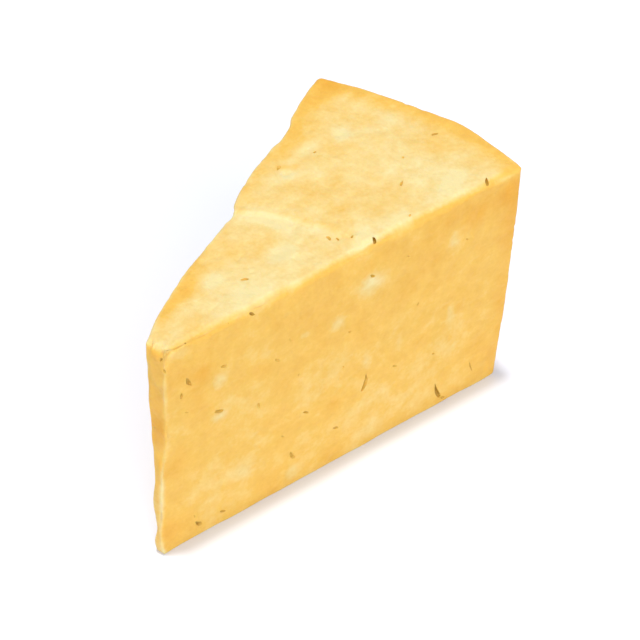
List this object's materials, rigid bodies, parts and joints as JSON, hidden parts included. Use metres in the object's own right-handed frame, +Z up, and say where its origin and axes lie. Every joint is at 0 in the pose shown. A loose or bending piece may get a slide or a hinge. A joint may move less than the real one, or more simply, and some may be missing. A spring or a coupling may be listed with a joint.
{
  "type": "roumy cheese wedge",
  "caption": "Wedge of hard pressed yellow roumy cheese with one straight knife-cut side, one torn wavy side, a snapped tip and small mechanical openings.",
  "frame": {"origin": "middle of the wedge's footprint, on the surface it rests on", "axes": "+Z up; +X from the snapped tip to the wheel's curved rim, along the line that halves the wedge; +Y towards the torn side, -Y towards the straight knife cut"},
  "size_m": [0.1742, 0.1001, 0.112],
  "materials": {
    "cheese": "dense, slightly waxy yellow curd with a satin cut face, faint paler curd grains, darker orange towards the rind, and ochre walls inside the small openings"
  },
  "bodies": {
    "root": {"cheese_wedge": "cheese"}
  },
  "joints": []
}
